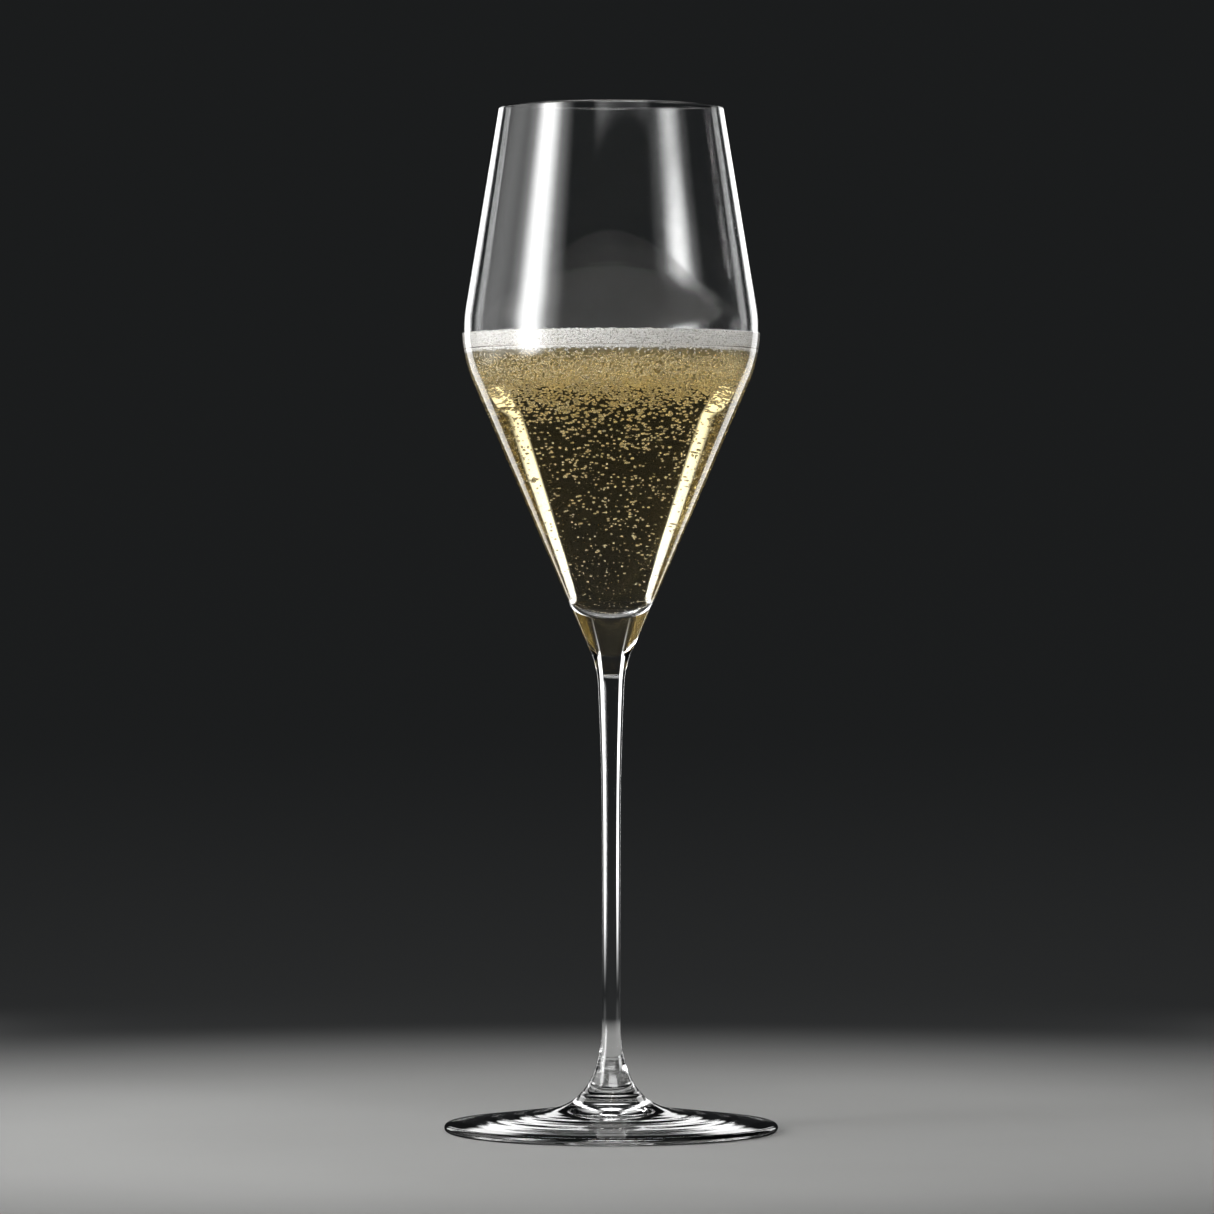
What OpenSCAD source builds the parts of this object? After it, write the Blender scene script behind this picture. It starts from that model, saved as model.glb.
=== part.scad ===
// Champagne flute: a thin tulip bowl, a drawn stem and a spun foot, fused end to end.
// Millimetres, +Z up. The origin is on the axis, in the plane the foot stands on.
// Each piece is a solid of revolution, and every outline is a list of [radius, height] points.

/* [Overall] */
// Height from the table to the top of the rim
total_h = 245; // [235:1:255]
// Sides of every round surface
facets = 128; // [48:8:256]

/* [Bowl] */
// Outside diameter at the rim
rim_d = 55; // [52:0.5:58]
// Outside diameter at the shoulder, the widest point
shoulder_d = 71.4; // [69:0.2:74]
// Height of the shoulder above the table
shoulder_z = 192.5; // [190:0.5:195]
// Radius of the soft bend at the shoulder
shoulder_bend = 33.5; // [28:0.5:34]
// Half-angle of the cone below the shoulder
cone_angle = 23.5; // [23:0.1:24]
// Thickness of the wall at the rim, which is rounded over
rim_wall = 1.05; // [0.9:0.05:1.4]
// Thickness of the wall at the shoulder
shoulder_wall = 1.35; // [1.1:0.05:1.8]
// Radius of the round bottom of the cavity
cavity_r = 9; // [8:0.25:9.5]
// Height of the lowest point of the cavity
cavity_z = 124; // [122:0.5:127]

/* [Stem] */
// Height of the weld between bowl and stem
bowl_weld_z = 115.5; // [114:0.5:117]
// Radius of the fillet that leads from the bowl's cone into the stem
neck_fillet = 25; // [20:1:28]
// Slope at which the fillet hands over to the slender stem
neck_angle = 2.5; // [2:0.1:4]
// Diameter of the stem along its waist
waist_d = 4.4; // [4:0.1:5]
// Height of the upper end of the straight waist
waist_top_z = 55; // [45:1:65]
// Height of the lower end of the straight waist, where the flare into the foot begins
waist_low_z = 27; // [25:1:32]

/* [Foot] */
// Diameter of the foot
foot_d = 80; // [76:1:84]
// Fall of the foot's upper face towards its edge
foot_slope = 7.2; // [6.5:0.1:8]
// Radius of the rounded edge of the foot
edge_r = 0.95; // [0.8:0.05:1.1]
// Radius at which the flare runs out into the foot's upper face
flare_end_r = 18.3; // [16:0.1:21]
// Share of the flare that belongs to the stem, above the weld
flare_share = 0.35; // [0.3:0.01:0.4]
// Inner radius of the flat ring that the foot stands on
ring_inner_r = 36; // [33:0.5:37]
// Height of the hollow under the middle of the foot, which keeps its glass about as thick all over
hollow_h = 3.4; // [2.6:0.1:3.8]

/* [Hidden] */
arc_steps = 12;
curve_steps = 14;

// Unit vector at an angle
function unit(angle) = [cos(angle), sin(angle)];

// Points of an arc, from one angle to another
function arc(centre, radius, from, to, steps = arc_steps) =
    [for (i = [0:steps]) centre + radius * unit(from + (to - from) * i / steps)];

// Point of a smooth curve from a to d, pulled by the handles b and c
function on_curve(a, b, c, d, t) =
    pow(1 - t, 3) * a + 3 * t * pow(1 - t, 2) * b + 3 * t * t * (1 - t) * c + pow(t, 3) * d;

// Points of a stretch of that curve
function curve(a, b, c, d, from = 0, to = 1) =
    [for (i = [0:curve_steps]) on_curve(a, b, c, d, from + (to - from) * i / curve_steps)];

// Direction in which a straight wall touches two circles. A negative radius is touched from inside.
function touch_angle(c1, r1, c2, r2) =
    let (way = c2 - c1) atan2(way.y, way.x) - acos((r1 - r2) / norm(way));

// The lip is a half round as wide as the wall, and both faces of the wall run out of it
lip_r = rim_wall / 2;
lip = [rim_d / 2 - lip_r, total_h - lip_r];
shoulder = [shoulder_d / 2 - shoulder_bend, shoulder_z];
inner_bend = shoulder_bend - shoulder_wall;
cavity = [0, cavity_z + cavity_r];
outer_taper = touch_angle(shoulder, shoulder_bend, lip, lip_r);
inner_taper = touch_angle(shoulder, inner_bend, lip, -lip_r);
inner_cone = touch_angle(cavity, cavity_r, shoulder, inner_bend);

// The outer cone runs straight from the shoulder to the weld
cone_top = shoulder + shoulder_bend * unit(-cone_angle);
neck = [cone_top.x - (cone_top.y - bowl_weld_z) * tan(cone_angle), bowl_weld_z];

// The fillet's centre lies outside the glass, square to the cone where the weld is
fillet = neck + neck_fillet * unit(-cone_angle);
taper_start = fillet - neck_fillet * unit(-neck_angle);
waist_top = [waist_d / 2, waist_top_z];
taper_run = taper_start.y - waist_top_z;

// The flare starts upright and ends on the slope of the foot's upper face
edge = [foot_d / 2 - edge_r, edge_r];
edge_top = edge + edge_r * unit(90 - foot_slope);
waist_low = [waist_d / 2, waist_low_z];
flare_end = [flare_end_r, edge_top.y + (edge_top.x - flare_end_r) * tan(foot_slope)];
flare_drop = [0, -0.76 * waist_low_z];
flare_reach = flare_end_r / 3 * unit(180 - foot_slope);
foot_weld = on_curve(waist_low, waist_low + flare_drop, flare_end + flare_reach, flare_end, flare_share);

// The hollow under the foot rises alongside the upper face and levels out below the flare
ring_inner = [ring_inner_r, 0];
hollow_top = [0, hollow_h];
hollow_rise = ring_inner_r / 2 * unit(180 - foot_slope);
hollow_crown = [ring_inner_r / 4, 0];

module turned(outline) {
    rotate_extrude($fn = facets) polygon(outline);
}

// Tulip bowl, open at the top, with a solid glass tip below its cavity
module bowl() {
    outside = concat(
        [[0, bowl_weld_z], neck],
        arc(shoulder, shoulder_bend, -cone_angle, outer_taper));
    lip_round = arc(lip, lip_r, outer_taper, 180 + inner_taper);
    inside = concat(
        arc(shoulder, inner_bend, inner_taper, inner_cone),
        arc(cavity, cavity_r, inner_cone, -90));
    color([0.86, 0.9, 0.92, 0.35]) turned(concat(outside, lip_round, inside));
}

// Drawn stem, from the bowl's tip down to the middle of the flare
module stem() {
    neck_round = arc(fillet, neck_fillet, 180 - cone_angle, 180 - neck_angle);
    taper = curve(taper_start, taper_start - taper_run * 0.35 * unit(90 - neck_angle),
        waist_top + [0, taper_run * 0.54], waist_top);
    flare = curve(waist_low, waist_low + flare_drop, flare_end + flare_reach, flare_end, 0, flare_share);
    color([0.8, 0.85, 0.88, 0.35])
        turned(concat([[0, bowl_weld_z]], neck_round, taper, flare, [[0, foot_weld.y]]));
}

// Spun foot, standing on a flat ring near its edge
module foot() {
    flare = curve(waist_low, waist_low + flare_drop, flare_end + flare_reach, flare_end, flare_share, 1);
    rounded_edge = arc(edge, edge_r, 90 - foot_slope, -90);
    hollow = curve(ring_inner, ring_inner + hollow_rise, hollow_top + hollow_crown, hollow_top);
    color([0.74, 0.8, 0.84, 0.35])
        turned(concat([[0, foot_weld.y]], flare, rounded_edge, hollow));
}

bowl();
stem();
foot();
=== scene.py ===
"""The looks of a champagne flute: clear crystal in three fused pieces, half filled with sparkling wine.

Lengths are in metres, +Z up, with the flute's axis on Z and its foot standing on z = 0. The angles of
outlines and lights are in degrees. An outline is a list of (radius, height) points, spun round the axis.
"""

import math
import random

import bmesh
import bpy
from mathutils import Matrix, Vector, noise


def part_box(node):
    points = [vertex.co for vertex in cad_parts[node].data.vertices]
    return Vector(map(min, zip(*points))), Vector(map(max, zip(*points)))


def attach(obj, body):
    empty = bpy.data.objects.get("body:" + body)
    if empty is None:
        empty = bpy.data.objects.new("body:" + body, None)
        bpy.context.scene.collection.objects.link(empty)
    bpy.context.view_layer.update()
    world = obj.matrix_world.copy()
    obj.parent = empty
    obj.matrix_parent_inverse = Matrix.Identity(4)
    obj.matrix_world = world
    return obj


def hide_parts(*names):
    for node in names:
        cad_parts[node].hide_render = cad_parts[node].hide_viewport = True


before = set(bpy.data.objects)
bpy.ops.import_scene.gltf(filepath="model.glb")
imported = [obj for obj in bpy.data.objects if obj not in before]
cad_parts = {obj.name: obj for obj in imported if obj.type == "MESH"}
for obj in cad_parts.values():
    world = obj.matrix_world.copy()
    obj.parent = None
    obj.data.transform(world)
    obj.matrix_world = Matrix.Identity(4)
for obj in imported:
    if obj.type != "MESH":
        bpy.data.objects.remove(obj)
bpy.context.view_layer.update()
bowl_low, bowl_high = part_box("bowl")
foot_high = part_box("foot")[1]

MM = 0.001

# ---------------------------------------------------------------- the flute's own dimensions
TOTAL_H = bowl_high.z
BOWL_WELD_Z = bowl_low.z
FOOT_WELD_Z = foot_high.z
RIM_R = 27.5 * MM
SHOULDER_R = bowl_high.x
SHOULDER_Z = 192.5 * MM
SHOULDER_BEND = 33.5 * MM
CONE_ANGLE = 23.5
RIM_WALL = 1.05 * MM
SHOULDER_WALL = 1.35 * MM
CAVITY_R = 9 * MM
CAVITY_Z = 124 * MM
NECK_FILLET = 25 * MM
NECK_ANGLE = 2.5
WAIST_R = 2.2 * MM
WAIST_TOP_Z = 55 * MM
WAIST_LOW_Z = 27 * MM
FOOT_R = foot_high.x
FOOT_SLOPE = 7.2
EDGE_R = 0.95 * MM
FLARE_END_R = 18.3 * MM
FLARE_SHARE = 0.35
RING_INNER_R = 36 * MM
HOLLOW_H = 3.4 * MM

# Welded faces stay a hair apart, because light that meets two faces at one place is lost
WELD_GAP = 0.02 * MM
STEM_TOP_Z = BOWL_WELD_Z - WELD_GAP
STEM_BASE_Z = FOOT_WELD_Z + WELD_GAP

# Traces of the spinning: a turned line round the stem and one round the foot, and waves in the foot
STEM_LINE_Z = 16.8 * MM
FOOT_LINE_Z = 9.2 * MM
WAVES_FROM_R = 12 * MM
WAVES_TO_R = FOOT_R - 3 * MM
WAVE_DEPTH = 0.03 * MM
WAVE_LENGTH = 5.2 * MM

# ---------------------------------------------------------------- the drink
WINE_TOP_Z = 187.0 * MM
WINE_CLIMB = 0.6 * MM
WINE_CLIMB_REACH = 2.2 * MM
WALL_GAP = 0.03 * MM
FOAM_TOP_Z = 191.2 * MM
FOAM_DIP = 0.3 * MM
FOAM_SAG = 0.5 * MM
FOAM_INSET = 0.42 * MM

# A crowd of bubbles hangs under the foam, and looser clumps rise towards it
CROWD_TOP_Z = WINE_TOP_Z - 0.7 * MM
CROWD_LOW_Z = 181.2 * MM
RISING_TOP_Z = 180.5 * MM
RISING_LOW_Z = CAVITY_Z + 6 * MM
CLUMP_SCALE = 170
FINE_CLUMP_SCALE = 420

# The last pour left a misted film on the far wall, up to a plane that rises towards the back
FILM_RISE = 0.64
FILM_Z = 187.7 * MM
FILM_EDGE = 0.5 * MM
FILM_ROUGHNESS = 0.26

# ---------------------------------------------------------------- optics and colours
GLASS_IOR = 1.52
WINE_IOR = 1.344
SKIN_IOR = 1.33
CRYSTAL_TINT = (0.992, 0.996, 0.996, 1)
CLEAR = (1, 1, 1, 1)
WINE_GOLD = (0.9, 0.74, 0.14, 1)
WINE_DENSITY = 21.0
# Two greys of the foam bed, mixed at random: painted shade in the gaps between the foam's bubbles
FOAM_PAINTED_SHADE_DEEP = (0.50, 0.48, 0.43, 1)
FOAM_PAINTED_SHADE_PALE = (0.66, 0.65, 0.62, 1)
SKIN_CREAM = (0.93, 0.91, 0.86, 1)
SKIN_WHITE = (0.99, 0.985, 0.975, 1)
SKIN_GLOW_TINT = (1, 0.98, 0.96, 1)
SKIN_GLOW = 0.14
GAS_TAN = (1, 0.93, 0.79, 1)
GAS_GLOW_TINT = (1, 0.86, 0.58, 1)
STONE_DARK = (0.235, 0.235, 0.23, 1)
STONE_LIGHT = (0.28, 0.28, 0.275, 1)
# Near black painted on the floor away from the object: painted shade where the light falls off
PAINTED_FALLOFF_GREY = (0.003, 0.003, 0.003, 1)

# ---------------------------------------------------------------- the stage
FLOOR_Z = -0.05 * MM
# Between these radii the floor's pale stone fades into painted shade, leaving a painted pool of light
# round the object
PAINTED_POOL_R = 0.12
PAINTED_DARK_R = 0.36
SWEEP_R = 4.0
SWEEP_BEND = 1.0
SWEEP_H = 3.0
SWEEP_STEPS = 96
BACKDROP_GLOW = 0.0115
BACKDROP_TINT = (0.90, 0.97, 1.0, 1)
STUDIO_FILL = 0.014
STUDIO_TINT = (0.92, 0.96, 1.0, 1)
LIGHT_AIM_Z = 0.5
CAMERA_PLACE = Vector((-0.001, -1.46, 0.1357))
CAMERA_AIM = Vector((-0.001, 0, 0.1256))
LENS = 180.7
SENSOR = 36

# ---------------------------------------------------------------- fineness
TURN_STEPS = 192
ARC_STEPS = 24
LIP_STEPS = 12
CURVE_STEPS = 28
FINE_STEPS = 90
EDGE_STEPS = 8
CRISP_ANGLE = 35
LIGHT_BOUNCES = 40
SHADOW_BOUNCES = 16


# ================================================================ outlines

def unit(angle):
    return Vector((math.cos(math.radians(angle)), math.sin(math.radians(angle))))


def arc(centre, radius, start, end, steps=ARC_STEPS):
    return [centre + radius * unit(start + (end - start) * i / steps) for i in range(steps + 1)]


def on_curve(a, b, c, d, t):
    return (1 - t) ** 3 * a + 3 * t * (1 - t) ** 2 * b + 3 * t * t * (1 - t) * c + t ** 3 * d


def curve(a, b, c, d, start=0.0, end=1.0, steps=CURVE_STEPS):
    return [on_curve(a, b, c, d, start + (end - start) * i / steps) for i in range(steps + 1)]


def touch_angle(centre_1, radius_1, centre_2, radius_2):
    """Direction in which a straight wall touches two circles. A negative radius is touched from inside."""
    way = centre_2 - centre_1
    lean = math.acos((radius_1 - radius_2) / way.length)
    return math.degrees(math.atan2(way.y, way.x) - lean)


def cut_at(outline, height):
    """The part of a rising outline that lies below a height, ended exactly on it."""
    kept = [p for p in outline if p.y < height]
    first_out = outline[len(kept)]
    share = (height - kept[-1].y) / (first_out.y - kept[-1].y)
    return kept + [kept[-1].lerp(first_out, share)]


LIP_R = RIM_WALL / 2
LIP = Vector((RIM_R - LIP_R, TOTAL_H - LIP_R))
SHOULDER = Vector((SHOULDER_R - SHOULDER_BEND, SHOULDER_Z))
INNER_BEND = SHOULDER_BEND - SHOULDER_WALL
CAVITY = Vector((0, CAVITY_Z + CAVITY_R))
OUTER_TAPER = touch_angle(SHOULDER, SHOULDER_BEND, LIP, LIP_R)
INNER_TAPER = touch_angle(SHOULDER, INNER_BEND, LIP, -LIP_R)


def inner_wall(gap=0.0):
    """The cavity's outline from its lowest point up to the lip, pulled in from the glass by a gap."""
    bend = INNER_BEND - gap
    ball = CAVITY_R - gap
    cone = touch_angle(CAVITY, ball, SHOULDER, bend)
    return (arc(CAVITY, ball, -90, cone)
            + arc(SHOULDER, bend, cone, INNER_TAPER)
            + [LIP - (LIP_R + gap) * unit(INNER_TAPER)])


def wall_radius(height, gap=0.0):
    """Radius of the cavity at a height."""
    return cut_at(inner_wall(gap), height)[-1].x


def find_neck():
    """Where the outer cone, run straight down from the shoulder, meets the weld."""
    cone_top = SHOULDER + SHOULDER_BEND * unit(-CONE_ANGLE)
    drop = cone_top.y - BOWL_WELD_Z
    return Vector((cone_top.x - drop * math.tan(math.radians(CONE_ANGLE)), BOWL_WELD_Z))


NECK = find_neck()
FILLET = NECK + NECK_FILLET * unit(-CONE_ANGLE)
TAPER_START = FILLET - NECK_FILLET * unit(-NECK_ANGLE)
WAIST_TOP = Vector((WAIST_R, WAIST_TOP_Z))
TAPER_RUN = TAPER_START.y - WAIST_TOP_Z
EDGE = Vector((FOOT_R - EDGE_R, EDGE_R))
EDGE_TOP = EDGE + EDGE_R * unit(90 - FOOT_SLOPE)
WAIST_LOW = Vector((WAIST_R, WAIST_LOW_Z))
FLARE_FALL = (EDGE_TOP.x - FLARE_END_R) * math.tan(math.radians(FOOT_SLOPE))
FLARE_END = Vector((FLARE_END_R, EDGE_TOP.y + FLARE_FALL))
FLARE_DROP = Vector((0, -0.76 * WAIST_LOW_Z))
FLARE_REACH = FLARE_END_R / 3 * unit(180 - FOOT_SLOPE)


def bowl_outline():
    """The bowl's outside, over the lip and down its inside, with a point where the foam's top stands."""
    outside = [Vector((0, BOWL_WELD_Z)), NECK] + arc(SHOULDER, SHOULDER_BEND, -CONE_ANGLE, OUTER_TAPER)
    lip_round = arc(LIP, LIP_R, OUTER_TAPER, 180 + INNER_TAPER, LIP_STEPS)
    wet = cut_at(inner_wall(), FOAM_TOP_Z)
    dry = [p for p in inner_wall()[:-1] if p.y > FOAM_TOP_Z]
    return outside + lip_round + dry[::-1] + wet[::-1]


def flare(start, end):
    """A stretch of the flare that leads from the stem's waist into the foot's upper face."""
    return curve(WAIST_LOW, WAIST_LOW + FLARE_DROP, FLARE_END + FLARE_REACH, FLARE_END,
                 start, end, FINE_STEPS)


def turned_line(outline, height, depth, width):
    """A faint turned line round an outline: its radius swells a little about one height."""
    def swell(point):
        return depth * math.exp(-((point.y - height) / width) ** 2)
    return [Vector((point.x + swell(point), point.y)) for point in outline]


def rippled(outline):
    """Faint spinning waves in the foot's upper face, which die away towards both ends."""
    def lift(point):
        share = (point.x - WAVES_FROM_R) / (WAVES_TO_R - WAVES_FROM_R)
        if not 0 < share < 1:
            return 0
        turn = math.tau * point.x / WAVE_LENGTH
        return WAVE_DEPTH * math.sin(math.pi * share) * (math.sin(turn) + 0.6 * math.sin(1.73 * turn))
    return [Vector((point.x, point.y + lift(point))) for point in outline]


def stem_outline():
    neck_round = arc(FILLET, NECK_FILLET, 180 - CONE_ANGLE, 180 - NECK_ANGLE)
    taper = curve(
        TAPER_START,
        TAPER_START - TAPER_RUN * 0.35 * unit(90 - NECK_ANGLE),
        WAIST_TOP + Vector((0, TAPER_RUN * 0.54)),
        WAIST_TOP,
    )
    flared = turned_line(flare(0, FLARE_SHARE), STEM_LINE_Z, 0.05 * MM, 0.4 * MM)
    top = Vector((neck_round[0].x, STEM_TOP_Z))
    base = Vector((flared[-1].x, STEM_BASE_Z))
    return ([Vector((0, STEM_TOP_Z)), top] + neck_round[1:] + taper[1:] + flared[:-1]
            + [base, Vector((0, STEM_BASE_Z))])


def foot_outline():
    ring_inner = Vector((RING_INNER_R, 0))
    hollow_top = Vector((0, HOLLOW_H))
    rise = RING_INNER_R / 2 * unit(180 - FOOT_SLOPE)
    crown = Vector((RING_INNER_R / 4, 0))
    rounded_edge = arc(EDGE, EDGE_R, 90 - FOOT_SLOPE, -90)
    hollow = curve(ring_inner, ring_inner + rise, hollow_top + crown, hollow_top)
    slope = [FLARE_END.lerp(EDGE_TOP, i / FINE_STEPS) for i in range(1, FINE_STEPS)]
    top = turned_line(flare(FLARE_SHARE, 1) + slope, FOOT_LINE_Z, 0.12 * MM, 0.3 * MM)
    return [Vector((0, FOOT_WELD_Z))] + rippled(top) + rounded_edge + hollow


# ================================================================ nodes

def new_material(name):
    material = bpy.data.materials.new(name)
    material.use_nodes = True
    tree = material.node_tree
    return material, tree, tree.nodes["Principled BSDF"]


def add(tree, kind, **values):
    """A new node. Each value goes to the input of that name, or else to the node's own property."""
    node = tree.nodes.new(kind)
    for name, value in values.items():
        if name in node.inputs:
            node.inputs[name].default_value = value
        else:
            setattr(node, name, value)
    return node


def settle(node, **values):
    """Sets a node's own inputs. An underscore stands for a space in an input's name."""
    for name, value in values.items():
        node.inputs[name.replace("_", " ")].default_value = value


def feed(tree, source, socket):
    """Gives an input either a constant or what another node puts out."""
    if isinstance(source, bpy.types.NodeSocket):
        tree.links.new(source, socket)
    else:
        socket.default_value = source


def object_place(tree):
    return add(tree, "ShaderNodeTexCoord").outputs["Object"]


def object_noise(tree, scale, detail=2.0):
    pattern = add(tree, "ShaderNodeTexNoise", Scale=scale, Detail=detail)
    feed(tree, object_place(tree), pattern.inputs["Vector"])
    return pattern.outputs["Fac"]


def times(tree, first, second):
    product = add(tree, "ShaderNodeMath", operation="MULTIPLY")
    feed(tree, first, product.inputs[0])
    feed(tree, second, product.inputs[1])
    return product.outputs[0]


def ramp(tree, value, start, end, top=1.0, kind="LINEAR"):
    """0 where the value is at the start, the top where it is at the end, and level beyond them."""
    rise = add(tree, "ShaderNodeMapRange", interpolation_type=kind)
    settle(rise, From_Min=start, From_Max=end, To_Max=top)
    feed(tree, value, rise.inputs["Value"])
    return rise.outputs["Result"]


def blend(tree, first, second, share):
    """The first colour where the share is 0, and the second where it is 1."""
    mix = add(tree, "ShaderNodeMix", data_type="RGBA")
    feed(tree, first, mix.inputs["A"])
    feed(tree, second, mix.inputs["B"])
    feed(tree, share, mix.inputs["Factor"])
    return mix.outputs["Result"]


def bump(tree, shader, height, strength, depth):
    relief = add(tree, "ShaderNodeBump", Strength=strength, Distance=depth)
    feed(tree, height, relief.inputs["Height"])
    feed(tree, relief.outputs["Normal"], shader.inputs["Normal"])


# ================================================================ materials

def bare_crystal(name, ior):
    """Clear crystal, before anything is added to its surface."""
    material, tree, shader = new_material(name)
    settle(shader, Base_Color=CRYSTAL_TINT, Transmission_Weight=1.0, IOR=ior)
    return material, tree, shader


def blown_glass(name, ior):
    """Clear crystal: faint waves of the blowing in its surface, and a few faint smudges."""
    material, tree, shader = bare_crystal(name, ior)
    bump(tree, shader, object_noise(tree, 45.0), strength=0.25, depth=0.06 * MM)
    smudges = ramp(tree, object_noise(tree, 70.0, 4.0), start=0.55, end=0.8, top=0.03)
    feed(tree, smudges, shader.inputs["Roughness"])
    return material


def misted_glass(name, ior):
    """The bowl's inner wall: clear crystal with a misted film up to a slanting, beaded edge."""
    material, tree, shader = bare_crystal(name, ior)
    above = add(tree, "ShaderNodeVectorMath", operation="DOT_PRODUCT")
    feed(tree, object_place(tree), above.inputs[0])
    feed(tree, (0, -FILM_RISE, 1), above.inputs[1])
    film = ramp(tree, above.outputs["Value"], start=FILM_Z + FILM_EDGE, end=FILM_Z - FILM_EDGE)
    mist = times(tree, film, object_noise(tree, 1400.0, 3.0))
    feed(tree, times(tree, mist, FILM_ROUGHNESS), shader.inputs["Roughness"])
    bump(tree, shader, film, strength=0.25, depth=0.02 * MM)
    return material


def clear_boundary(name, ior):
    """A clean boundary between two media, whose index is the ratio of theirs."""
    material, tree, shader = new_material(name)
    settle(shader, Base_Color=CLEAR, Transmission_Weight=1.0, Roughness=0.0, IOR=ior)
    return material, tree


def fused_joint(name):
    """The weld between two pieces of glass, where light goes straight through."""
    return clear_boundary(name, 1.0)[0]


def sparkling_wine(name, ior):
    """Pale gold wine, deeper in colour the further the light goes through it."""
    material, tree = clear_boundary(name, ior)
    depth = add(tree, "ShaderNodeVolumeAbsorption", Color=WINE_GOLD, Density=WINE_DENSITY)
    feed(tree, depth.outputs["Volume"], tree.nodes["Material Output"].inputs["Volume"])
    return material


def wine_foam(name):
    """Packed foam behind the bubbles at the glass: greyed as painted shade in the gaps between the
    bubbles, soft, and pitted with fine cells.
    """
    material, tree, shader = new_material(name)
    # Painted shade: the bed's grey stands for the shade in the gaps between the bubbles
    tint = blend(tree, FOAM_PAINTED_SHADE_DEEP, FOAM_PAINTED_SHADE_PALE, object_noise(tree, 260.0, 3.0))
    feed(tree, tint, shader.inputs["Base Color"])
    settle(shader, Subsurface_Weight=0.5, Subsurface_Radius=(1.0, 0.9, 0.7), Subsurface_Scale=0.8 * MM,
           Roughness=0.35)
    cells = add(tree, "ShaderNodeTexVoronoi", Scale=1500.0)
    feed(tree, object_place(tree), cells.inputs["Vector"])
    bump(tree, shader, cells.outputs["Distance"], strength=0.7, depth=0.25 * MM)
    return material


def bubble_film(name):
    """The wet skins of foam bubbles: milky, a little see-through, with a sharp shine. Their glow stands
    for light that bounces about in the foam."""
    material, tree, shader = new_material(name)
    tint = blend(tree, SKIN_CREAM, SKIN_WHITE, object_noise(tree, 500.0))
    feed(tree, tint, shader.inputs["Base Color"])
    settle(shader, Transmission_Weight=0.2, IOR=SKIN_IOR, Roughness=0.08,
           Emission_Color=SKIN_GLOW_TINT, Emission_Strength=SKIN_GLOW)
    return material


def gas_in_wine(name, clearness, glow):
    """A gas bubble under the wine's surface. Its faces point into the wine, so its index is the inverse.
    The glow stands for light that bounces about in a crowd of bubbles."""
    material, tree, shader = new_material(name)
    settle(shader, Base_Color=GAS_TAN, Transmission_Weight=clearness, Roughness=0.05,
           IOR=1.0 / WINE_IOR, Emission_Color=GAS_GLOW_TINT, Emission_Strength=glow)
    return material


def pale_floor(name):
    """Pale honed stone with a faint mottle round the object. Further out its colour fades to a near black
    sweep: painted shade where the light falls off, so the pale floor is a painted pool of light. The dark
    sweep glows faintly and evenly.
    """
    material, tree, shader = new_material(name)
    stone = blend(tree, STONE_DARK, STONE_LIGHT, object_noise(tree, 9.0, 8.0))
    reach = add(tree, "ShaderNodeVectorMath", operation="LENGTH")
    feed(tree, object_place(tree), reach.inputs[0])
    painted_falloff = ramp(tree, reach.outputs["Value"], start=PAINTED_POOL_R, end=PAINTED_DARK_R, kind="SMOOTHSTEP")
    feed(tree, blend(tree, stone, PAINTED_FALLOFF_GREY, painted_falloff), shader.inputs["Base Color"])
    feed(tree, times(tree, painted_falloff, BACKDROP_GLOW), shader.inputs["Emission Strength"])
    settle(shader, Emission_Color=BACKDROP_TINT, Roughness=0.75, Specular_IOR_Level=0.1)
    return material


# ================================================================ making pieces

def keep(name, bm, materials):
    """Turns a bmesh into an object with these materials."""
    mesh = bpy.data.meshes.new(name)
    bm.to_mesh(mesh)
    bm.free()
    for material in materials:
        mesh.materials.append(material)
    piece = bpy.data.objects.new(name, mesh)
    bpy.context.scene.collection.objects.link(piece)
    return piece


def spin(outline, steps=TURN_STEPS):
    """A smooth surface of revolution with crisp edges, closed if its outline ends on the axis."""
    bm = bmesh.new()
    ring = [bm.verts.new((p.x, 0, p.y)) for p in outline]
    edges = [bm.edges.new(pair) for pair in zip(ring, ring[1:])]
    bmesh.ops.spin(bm, geom=ring + edges, cent=(0, 0, 0), axis=(0, 0, 1),
                   angle=math.tau, steps=steps, use_merge=True)
    bmesh.ops.remove_doubles(bm, verts=bm.verts, dist=0.0005 * MM)
    bmesh.ops.recalc_face_normals(bm, faces=bm.faces)
    for face in bm.faces:
        face.smooth = True
    for edge in bm.edges:
        edge.smooth = edge.is_boundary or edge.calc_face_angle() < math.radians(CRISP_ANGLE)
    return bm


def mark(bm, index, wanted):
    """Gives the faces that a test picks a material, and a crisp border."""
    for face in bm.faces:
        if wanted(face.calc_center_median(), face.normal):
            face.material_index = index
    for edge in bm.edges:
        if len({face.material_index for face in edge.link_faces}) > 1:
            edge.smooth = False


def finish_piece(piece, slot, *nodes):
    """Hangs a piece on the flute's one body, in place of these CAD nodes if any are named."""
    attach(piece, "root")
    if nodes:
        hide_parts(*nodes)


def across_axis(height):
    """A test that picks the flat faces lying across the axis at a height."""
    return lambda centre, normal: abs(centre.z - height) < WELD_GAP / 4 and abs(normal.z) > 0.99


def faces_cavity(centre, normal):
    """A test that picks the bowl's faces that look into its cavity."""
    in_cavity = CAVITY_Z - 0.1 * MM < centre.z < TOTAL_H - RIM_WALL
    looks_in = centre.x * normal.x + centre.y * normal.y < 0
    is_bottom = math.hypot(centre.x, centre.y) < CAVITY_R and normal.z > 0.3
    return in_cavity and (looks_in or is_bottom)


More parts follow.
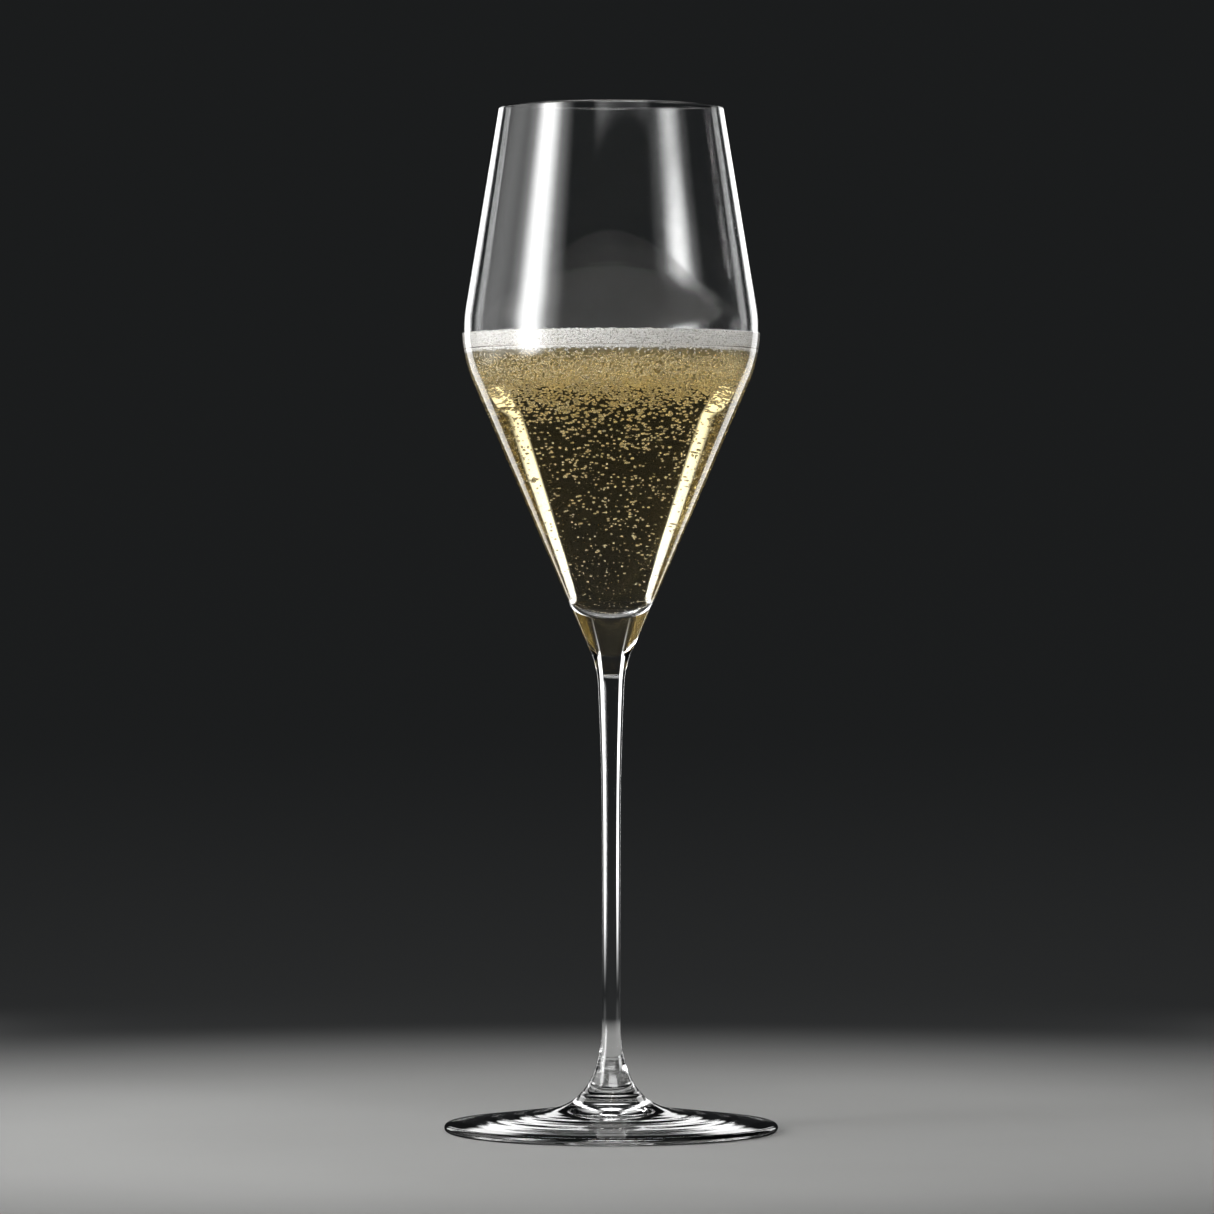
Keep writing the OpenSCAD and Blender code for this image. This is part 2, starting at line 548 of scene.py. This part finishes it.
def make_bowl(glass, against_wine, joint, misted):
    bm = spin(bowl_outline())
    mark(bm, 3, faces_cavity)
    mark(bm, 1, lambda centre, normal: faces_cavity(centre, normal) and centre.z < FOAM_TOP_Z)
    mark(bm, 2, across_axis(BOWL_WELD_Z))
    finish_piece(keep("glass_bowl", bm, [glass, against_wine, joint, misted]), "crystal_glass", "bowl")


def make_stem(glass, joint):
    bm = spin(stem_outline(), TURN_STEPS // 2)
    mark(bm, 1, across_axis(STEM_TOP_Z))
    mark(bm, 1, across_axis(STEM_BASE_Z))
    finish_piece(keep("glass_stem", bm, [glass, joint]), "crystal_glass", "stem")


def make_foot(glass, joint):
    bm = spin(foot_outline())
    mark(bm, 1, across_axis(FOOT_WELD_Z))
    piece = keep("glass_foot", bm, [glass, joint])
    finish_piece(piece, "crystal_glass", "foot")
    return piece


def make_wine(side, surface):
    """The wine fills the cavity a hair's breadth inside the glass, and climbs the wall a little."""
    wall = cut_at(inner_wall(WALL_GAP), WINE_TOP_Z + WINE_CLIMB)
    brim = wall[-1]
    level = Vector((brim.x - WINE_CLIMB_REACH, WINE_TOP_Z))
    meniscus = curve(brim, brim + Vector((-0.15 * MM, -0.5 * MM)),
                     level + Vector((1.0 * MM, 0)), level, steps=EDGE_STEPS)
    bm = spin(wall + meniscus[1:] + [Vector((0, WINE_TOP_Z))])
    mark(bm, 1, lambda centre, normal: normal.z > 0.2 and centre.z > WINE_TOP_Z - 0.1 * MM)
    finish_piece(keep("champagne", bm, [side, surface]), "champagne")


def make_foam(material):
    """A bed of foam that floats on the wine, dips into it, and is a little higher along the glass."""
    low_z = WINE_TOP_Z - FOAM_DIP
    base = Vector((wall_radius(low_z, FOAM_INSET), low_z))
    wall = [p for p in cut_at(inner_wall(FOAM_INSET), FOAM_TOP_Z - 0.3 * MM) if p.y > low_z]
    brim = wall[-1]
    crown = curve(brim, brim + Vector((-0.2 * MM, 0.4 * MM)), Vector((brim.x - 1 * MM, FOAM_TOP_Z)),
                  Vector((brim.x - 3 * MM, FOAM_TOP_Z - 0.2 * MM)), steps=EDGE_STEPS)
    sheet = [Vector((brim.x * share, FOAM_TOP_Z - FOAM_SAG)) for share in (0.75, 0.5, 0.25, 0)]
    bm = spin([Vector((0, low_z)), base] + wall + crown[1:] + sheet)
    finish_piece(keep("foam_bed", bm, [material]), "foam")


# ================================================================ bubbles

def bubble_template(name, subdivisions):
    bm = bmesh.new()
    bmesh.ops.create_icosphere(bm, subdivisions=subdivisions, radius=1)
    for face in bm.faces:
        face.smooth = True
    mesh = bpy.data.meshes.new(name)
    bm.to_mesh(mesh)
    bm.free()
    return mesh


def scatter(name, template, bubbles, material, slot):
    """One piece of many bubbles, each given as its centre, its radius and its stretch along Z."""
    bm = bmesh.new()
    for centre, radius, stretch in bubbles:
        single = template.copy()
        size = Matrix.Diagonal((radius, radius, radius * stretch, 1))
        single.transform(Matrix.Translation(centre) @ size)
        bm.from_mesh(single)
        bpy.data.meshes.remove(single)
    finish_piece(keep(name, bm, [material]), slot)


def at(radius, turn, height):
    """A place at a radius and at a turn, in radians, round the axis."""
    return Vector((radius * math.cos(turn), radius * math.sin(turn), height))


def measure_wall():
    """The cavity's radius at every millimetre of height, from its lowest point up past the foam."""
    heights = [CAVITY_Z + i * MM for i in range(int((FOAM_TOP_Z - CAVITY_Z) / MM) + 2)]
    return [wall_radius(height + 0.01 * MM) for height in heights]


WALL_RADII = measure_wall()


def wall_radius_at(height):
    """The cavity's radius, read off between two measured heights."""
    place = min(max((height - CAVITY_Z) / MM, 0), len(WALL_RADII) - 1.001)
    low = int(place)
    return WALL_RADII[low] + (WALL_RADII[low + 1] - WALL_RADII[low]) * (place - low)


def cloud(rng, count, low_z, high_z, lean, smallest, largest, clumping=0.0):
    """Bubbles through the wine between two heights, thinning out downwards by the lean, in clumps."""
    widest = wall_radius_at(high_z)
    found = []
    while len(found) < count:
        share = rng.random() ** lean
        height = high_z - share * (high_z - low_z)
        size = rng.uniform(smallest, largest) * (1 - 0.3 * share) / 2
        spot = at(widest * math.sqrt(rng.random()), rng.uniform(0, math.tau), height)
        dense = noise.noise(spot * CLUMP_SCALE) + 0.5 * noise.noise(spot * FINE_CLUMP_SCALE)
        if math.hypot(spot.x, spot.y) > wall_radius_at(height) - 2 * size:
            continue
        if rng.random() < 0.5 + clumping * dense:
            found.append((spot, size, rng.uniform(0.8, 1.0)))
    return found


def by_the_glass(rng, height, size, inset):
    """A round bubble by the glass at a height, its centre so many radii in from the wall."""
    return at(wall_radius_at(height) - inset * size, rng.uniform(0, math.tau), height), size, 1.0


def clinging(rng, count):
    """Small bubbles that sit on the glass under the wine."""
    found = []
    for _ in range(count):
        height = rng.uniform(CAVITY_Z + 1.5 * MM, WINE_TOP_Z - 2 * MM)
        size = rng.uniform(0.09, 0.17) * MM
        found.append(by_the_glass(rng, height, size, 1.8))
    return found


def foam_roots(rng, count):
    """Small bubbles crowding against the glass just under the foam, which hide the wine's edge."""
    found = []
    for _ in range(count):
        height = WINE_TOP_Z + 0.4 * MM - min(rng.expovariate(1 / (0.35 * MM)), 3 * MM)
        size = rng.uniform(0.14, 0.26) * MM
        found.append(by_the_glass(rng, height, size, 1.4))
    return found


def foam_side(rng, rows, around):
    """Rows of small bubbles pressed against the glass, all round the foam."""
    found = []
    rise = (FOAM_TOP_Z - WINE_TOP_Z - 0.2 * MM) / rows
    for row in range(rows):
        for i in range(around):
            height = WINE_TOP_Z + rise * (row + rng.uniform(0.1, 0.9))
            size = rng.uniform(0.22, 0.40) * MM
            turn = math.tau * (i + 0.5 * (row % 2) + rng.uniform(-0.3, 0.3)) / around
            found.append((at(wall_radius_at(height) - 1.12 * size, turn, height), size, 1.0))
    return found


def foam_top(rng, count):
    """Bubbles of mixed sizes on top of the foam, the large ones mostly along the glass."""
    found = []
    reach = wall_radius_at(FOAM_TOP_Z)
    for i in range(count):
        large = i % 9 == 0
        size = rng.uniform(0.5, 0.95) * MM if large else rng.uniform(0.22, 0.5) * MM
        share = 1 - 0.25 * rng.random() ** 2 if large else math.sqrt(rng.random())
        spot = at((reach - 1.3 * size) * share, rng.uniform(0, math.tau), FOAM_TOP_Z - FOAM_SAG)
        found.append((spot, size, 0.8))
    return found


def make_bubbles():
    gas = gas_in_wine("gas", clearness=0.8, glow=0.0)
    crowded_gas = gas_in_wine("crowded_gas", clearness=0.62, glow=0.07)
    skins = bubble_film("foam_bubbles")
    small_ball = bubble_template("small_bubble", 1)
    ball = bubble_template("bubble", 2)
    crowd = cloud(random.Random(3), 6900, CROWD_LOW_Z, CROWD_TOP_Z, lean=1.0,
                  smallest=0.4 * MM, largest=0.64 * MM)
    rising = cloud(random.Random(7), 2200, RISING_LOW_Z, RISING_TOP_Z, lean=2.1,
                   smallest=0.44 * MM, largest=0.74 * MM, clumping=1.1)
    scatter("bubble_veil", small_ball, crowd, crowded_gas, "bubbles")
    scatter("rising_bubbles", ball, rising, gas, "bubbles")
    scatter("clinging_bubbles", small_ball, clinging(random.Random(11), 900), gas, "bubbles")
    scatter("foam_root_bubbles", small_ball, foam_roots(random.Random(13), 2400), skins, "foam")
    scatter("foam_side_bubbles", small_ball, foam_side(random.Random(5), 9, 430), skins, "foam")
    scatter("foam_top_bubbles", small_ball, foam_top(random.Random(9), 6000), skins, "foam")


# ================================================================ stage

def soft_side(tree, position, share):
    """Full brightness in the middle of a light's face, fading over this share of each half."""
    off_centre = add(tree, "ShaderNodeMath", operation="SUBTRACT")
    feed(tree, position, off_centre.inputs[0])
    feed(tree, 0.5, off_centre.inputs[1])
    apart = add(tree, "ShaderNodeMath", operation="ABSOLUTE")
    feed(tree, off_centre.outputs[0], apart.inputs[0])
    return ramp(tree, apart.outputs[0], start=0.5, end=0.5 * (1 - share), kind="SMOOTHSTEP")


def soft_box(name, azimuth, distance, low, high, width, radiance, soft_x, soft_y):
    """An upright studio light with soft edges, which the camera doesn't see. Its azimuth is how far it
    stands round the flute to the left of the camera."""
    light = bpy.data.lights.new(name, "AREA")
    light.shape = "RECTANGLE"
    light.size = width
    light.size_y = high - low
    light.energy = radiance * math.pi * width * (high - low)
    light.use_nodes = True
    tree = light.node_tree
    sides = add(tree, "ShaderNodeSeparateXYZ")
    feed(tree, add(tree, "ShaderNodeNewGeometry").outputs["Parametric"], sides.inputs["Vector"])
    across = soft_side(tree, sides.outputs["X"], soft_x)
    upwards = soft_side(tree, sides.outputs["Y"], soft_y)
    feed(tree, times(tree, across, upwards), tree.nodes["Emission"].inputs["Strength"])
    lamp = bpy.data.objects.new(name, light)
    turn = math.radians(azimuth)
    middle = (low + high) / 2
    lamp.location = (-distance * math.sin(turn), -distance * math.cos(turn), middle)
    aim = Vector((0, 0, min(middle, LIGHT_AIM_Z)))
    lamp.rotation_euler = (aim - lamp.location).to_track_quat("-Z", "Y").to_euler()
    lamp.visible_camera = False
    bpy.context.scene.collection.objects.link(lamp)
    return lamp


def light_only(lamp, piece):
    """Lets a light reach one piece and nothing else."""
    lit = bpy.data.collections.new(f"lit_by_{lamp.name}")
    lit.objects.link(piece)
    lamp.light_linking.receiver_collection = lit


def make_lights(foot):
    soft_box("left_core", azimuth=65, distance=0.50, low=0.0, high=0.66, width=0.30, radiance=10.5,
             soft_x=1.0, soft_y=0.12)
    soft_box("left_halo", azimuth=64, distance=0.56, low=0.0, high=0.70, width=0.60, radiance=3.9,
             soft_x=1.0, soft_y=0.12)
    side = soft_box("side_halo", azimuth=99, distance=0.60, low=0.0, high=0.70, width=0.78, radiance=2.0,
                    soft_x=1.0, soft_y=0.12)
    side.visible_transmission = False
    soft_box("front_top", azimuth=-12, distance=0.90, low=0.78, high=1.50, width=1.30, radiance=9.0,
             soft_x=0.5, soft_y=0.5)
    soft_box("back_canopy", azimuth=180, distance=2.5, low=1.80, high=2.70, width=1.8, radiance=4.0,
             soft_x=0.8, soft_y=0.6)
    for name, azimuth in (("back_left_strip", 146), ("back_right_strip", 214)):
        soft_box(name, azimuth, distance=0.45, low=0.0, high=0.43, width=0.145, radiance=2.2,
                 soft_x=0.3, soft_y=0.2)
    glow = soft_box("foot_glow", azimuth=180, distance=2.5, low=0.47, high=0.80, width=1.6, radiance=2.2,
                    soft_x=0.7, soft_y=0.6)
    light_only(glow, foot)


def make_camera():
    data = bpy.data.cameras.new("camera")
    data.lens = LENS
    data.sensor_width = SENSOR
    data.clip_start = 0.05
    data.clip_end = 40
    camera = bpy.data.objects.new("camera", data)
    camera.location = CAMERA_PLACE
    camera.rotation_euler = (CAMERA_AIM - CAMERA_PLACE).to_track_quat("-Z", "Y").to_euler()
    bpy.context.scene.collection.objects.link(camera)
    bpy.context.scene.camera = camera


def make_floor():
    """A pale table top that runs out into a sweep all round, painted near black away from the object as
    painted shade where the light falls off. Its mirror image is left out, because it would lie over the
    wine as a grey veil."""
    corner = Vector((SWEEP_R - SWEEP_BEND, SWEEP_BEND))
    outline = [Vector((share * corner.x, 0)) for share in (0, 0.05, 0.15, 0.3, 0.5, 0.75)]
    outline += arc(corner, SWEEP_BEND, -90, 0) + [Vector((SWEEP_R, SWEEP_H))]
    bm = spin(outline, SWEEP_STEPS)
    bmesh.ops.translate(bm, verts=bm.verts, vec=(0, 0, FLOOR_Z))
    bmesh.ops.reverse_faces(bm, faces=[face for face in bm.faces if face.normal.z < -0.01])
    floor = keep("floor", bm, [pale_floor("pale_floor")])
    floor.visible_glossy = False


def make_world():
    world = bpy.data.worlds.new("studio")
    world.use_nodes = True
    bpy.context.scene.world = world
    settle(world.node_tree.nodes["Background"], Color=STUDIO_TINT, Strength=STUDIO_FILL)


def set_light_paths():
    """Enough bounces for light to get through every wall of glass, wine and bubbles."""
    bpy.context.scene.view_settings.view_transform = "Standard"
    bpy.context.scene.cycles.max_bounces = LIGHT_BOUNCES
    bpy.context.scene.cycles.transmission_bounces = LIGHT_BOUNCES
    bpy.context.scene.cycles.transparent_max_bounces = SHADOW_BOUNCES


make_camera()
make_floor()
make_world()

clear = blown_glass("clear_crystal", GLASS_IOR)
against_wine = blown_glass("crystal_against_wine", GLASS_IOR / WINE_IOR)
weld = fused_joint("fused_joint")
make_bowl(clear, against_wine, weld, misted_glass("misted_crystal", GLASS_IOR))
make_stem(clear, weld)
make_lights(make_foot(clear, weld))
make_wine(sparkling_wine("wine_at_the_glass", 1.0), sparkling_wine("wine_surface", WINE_IOR))
make_foam(wine_foam("foam_cells"))
make_bubbles()
set_light_paths()
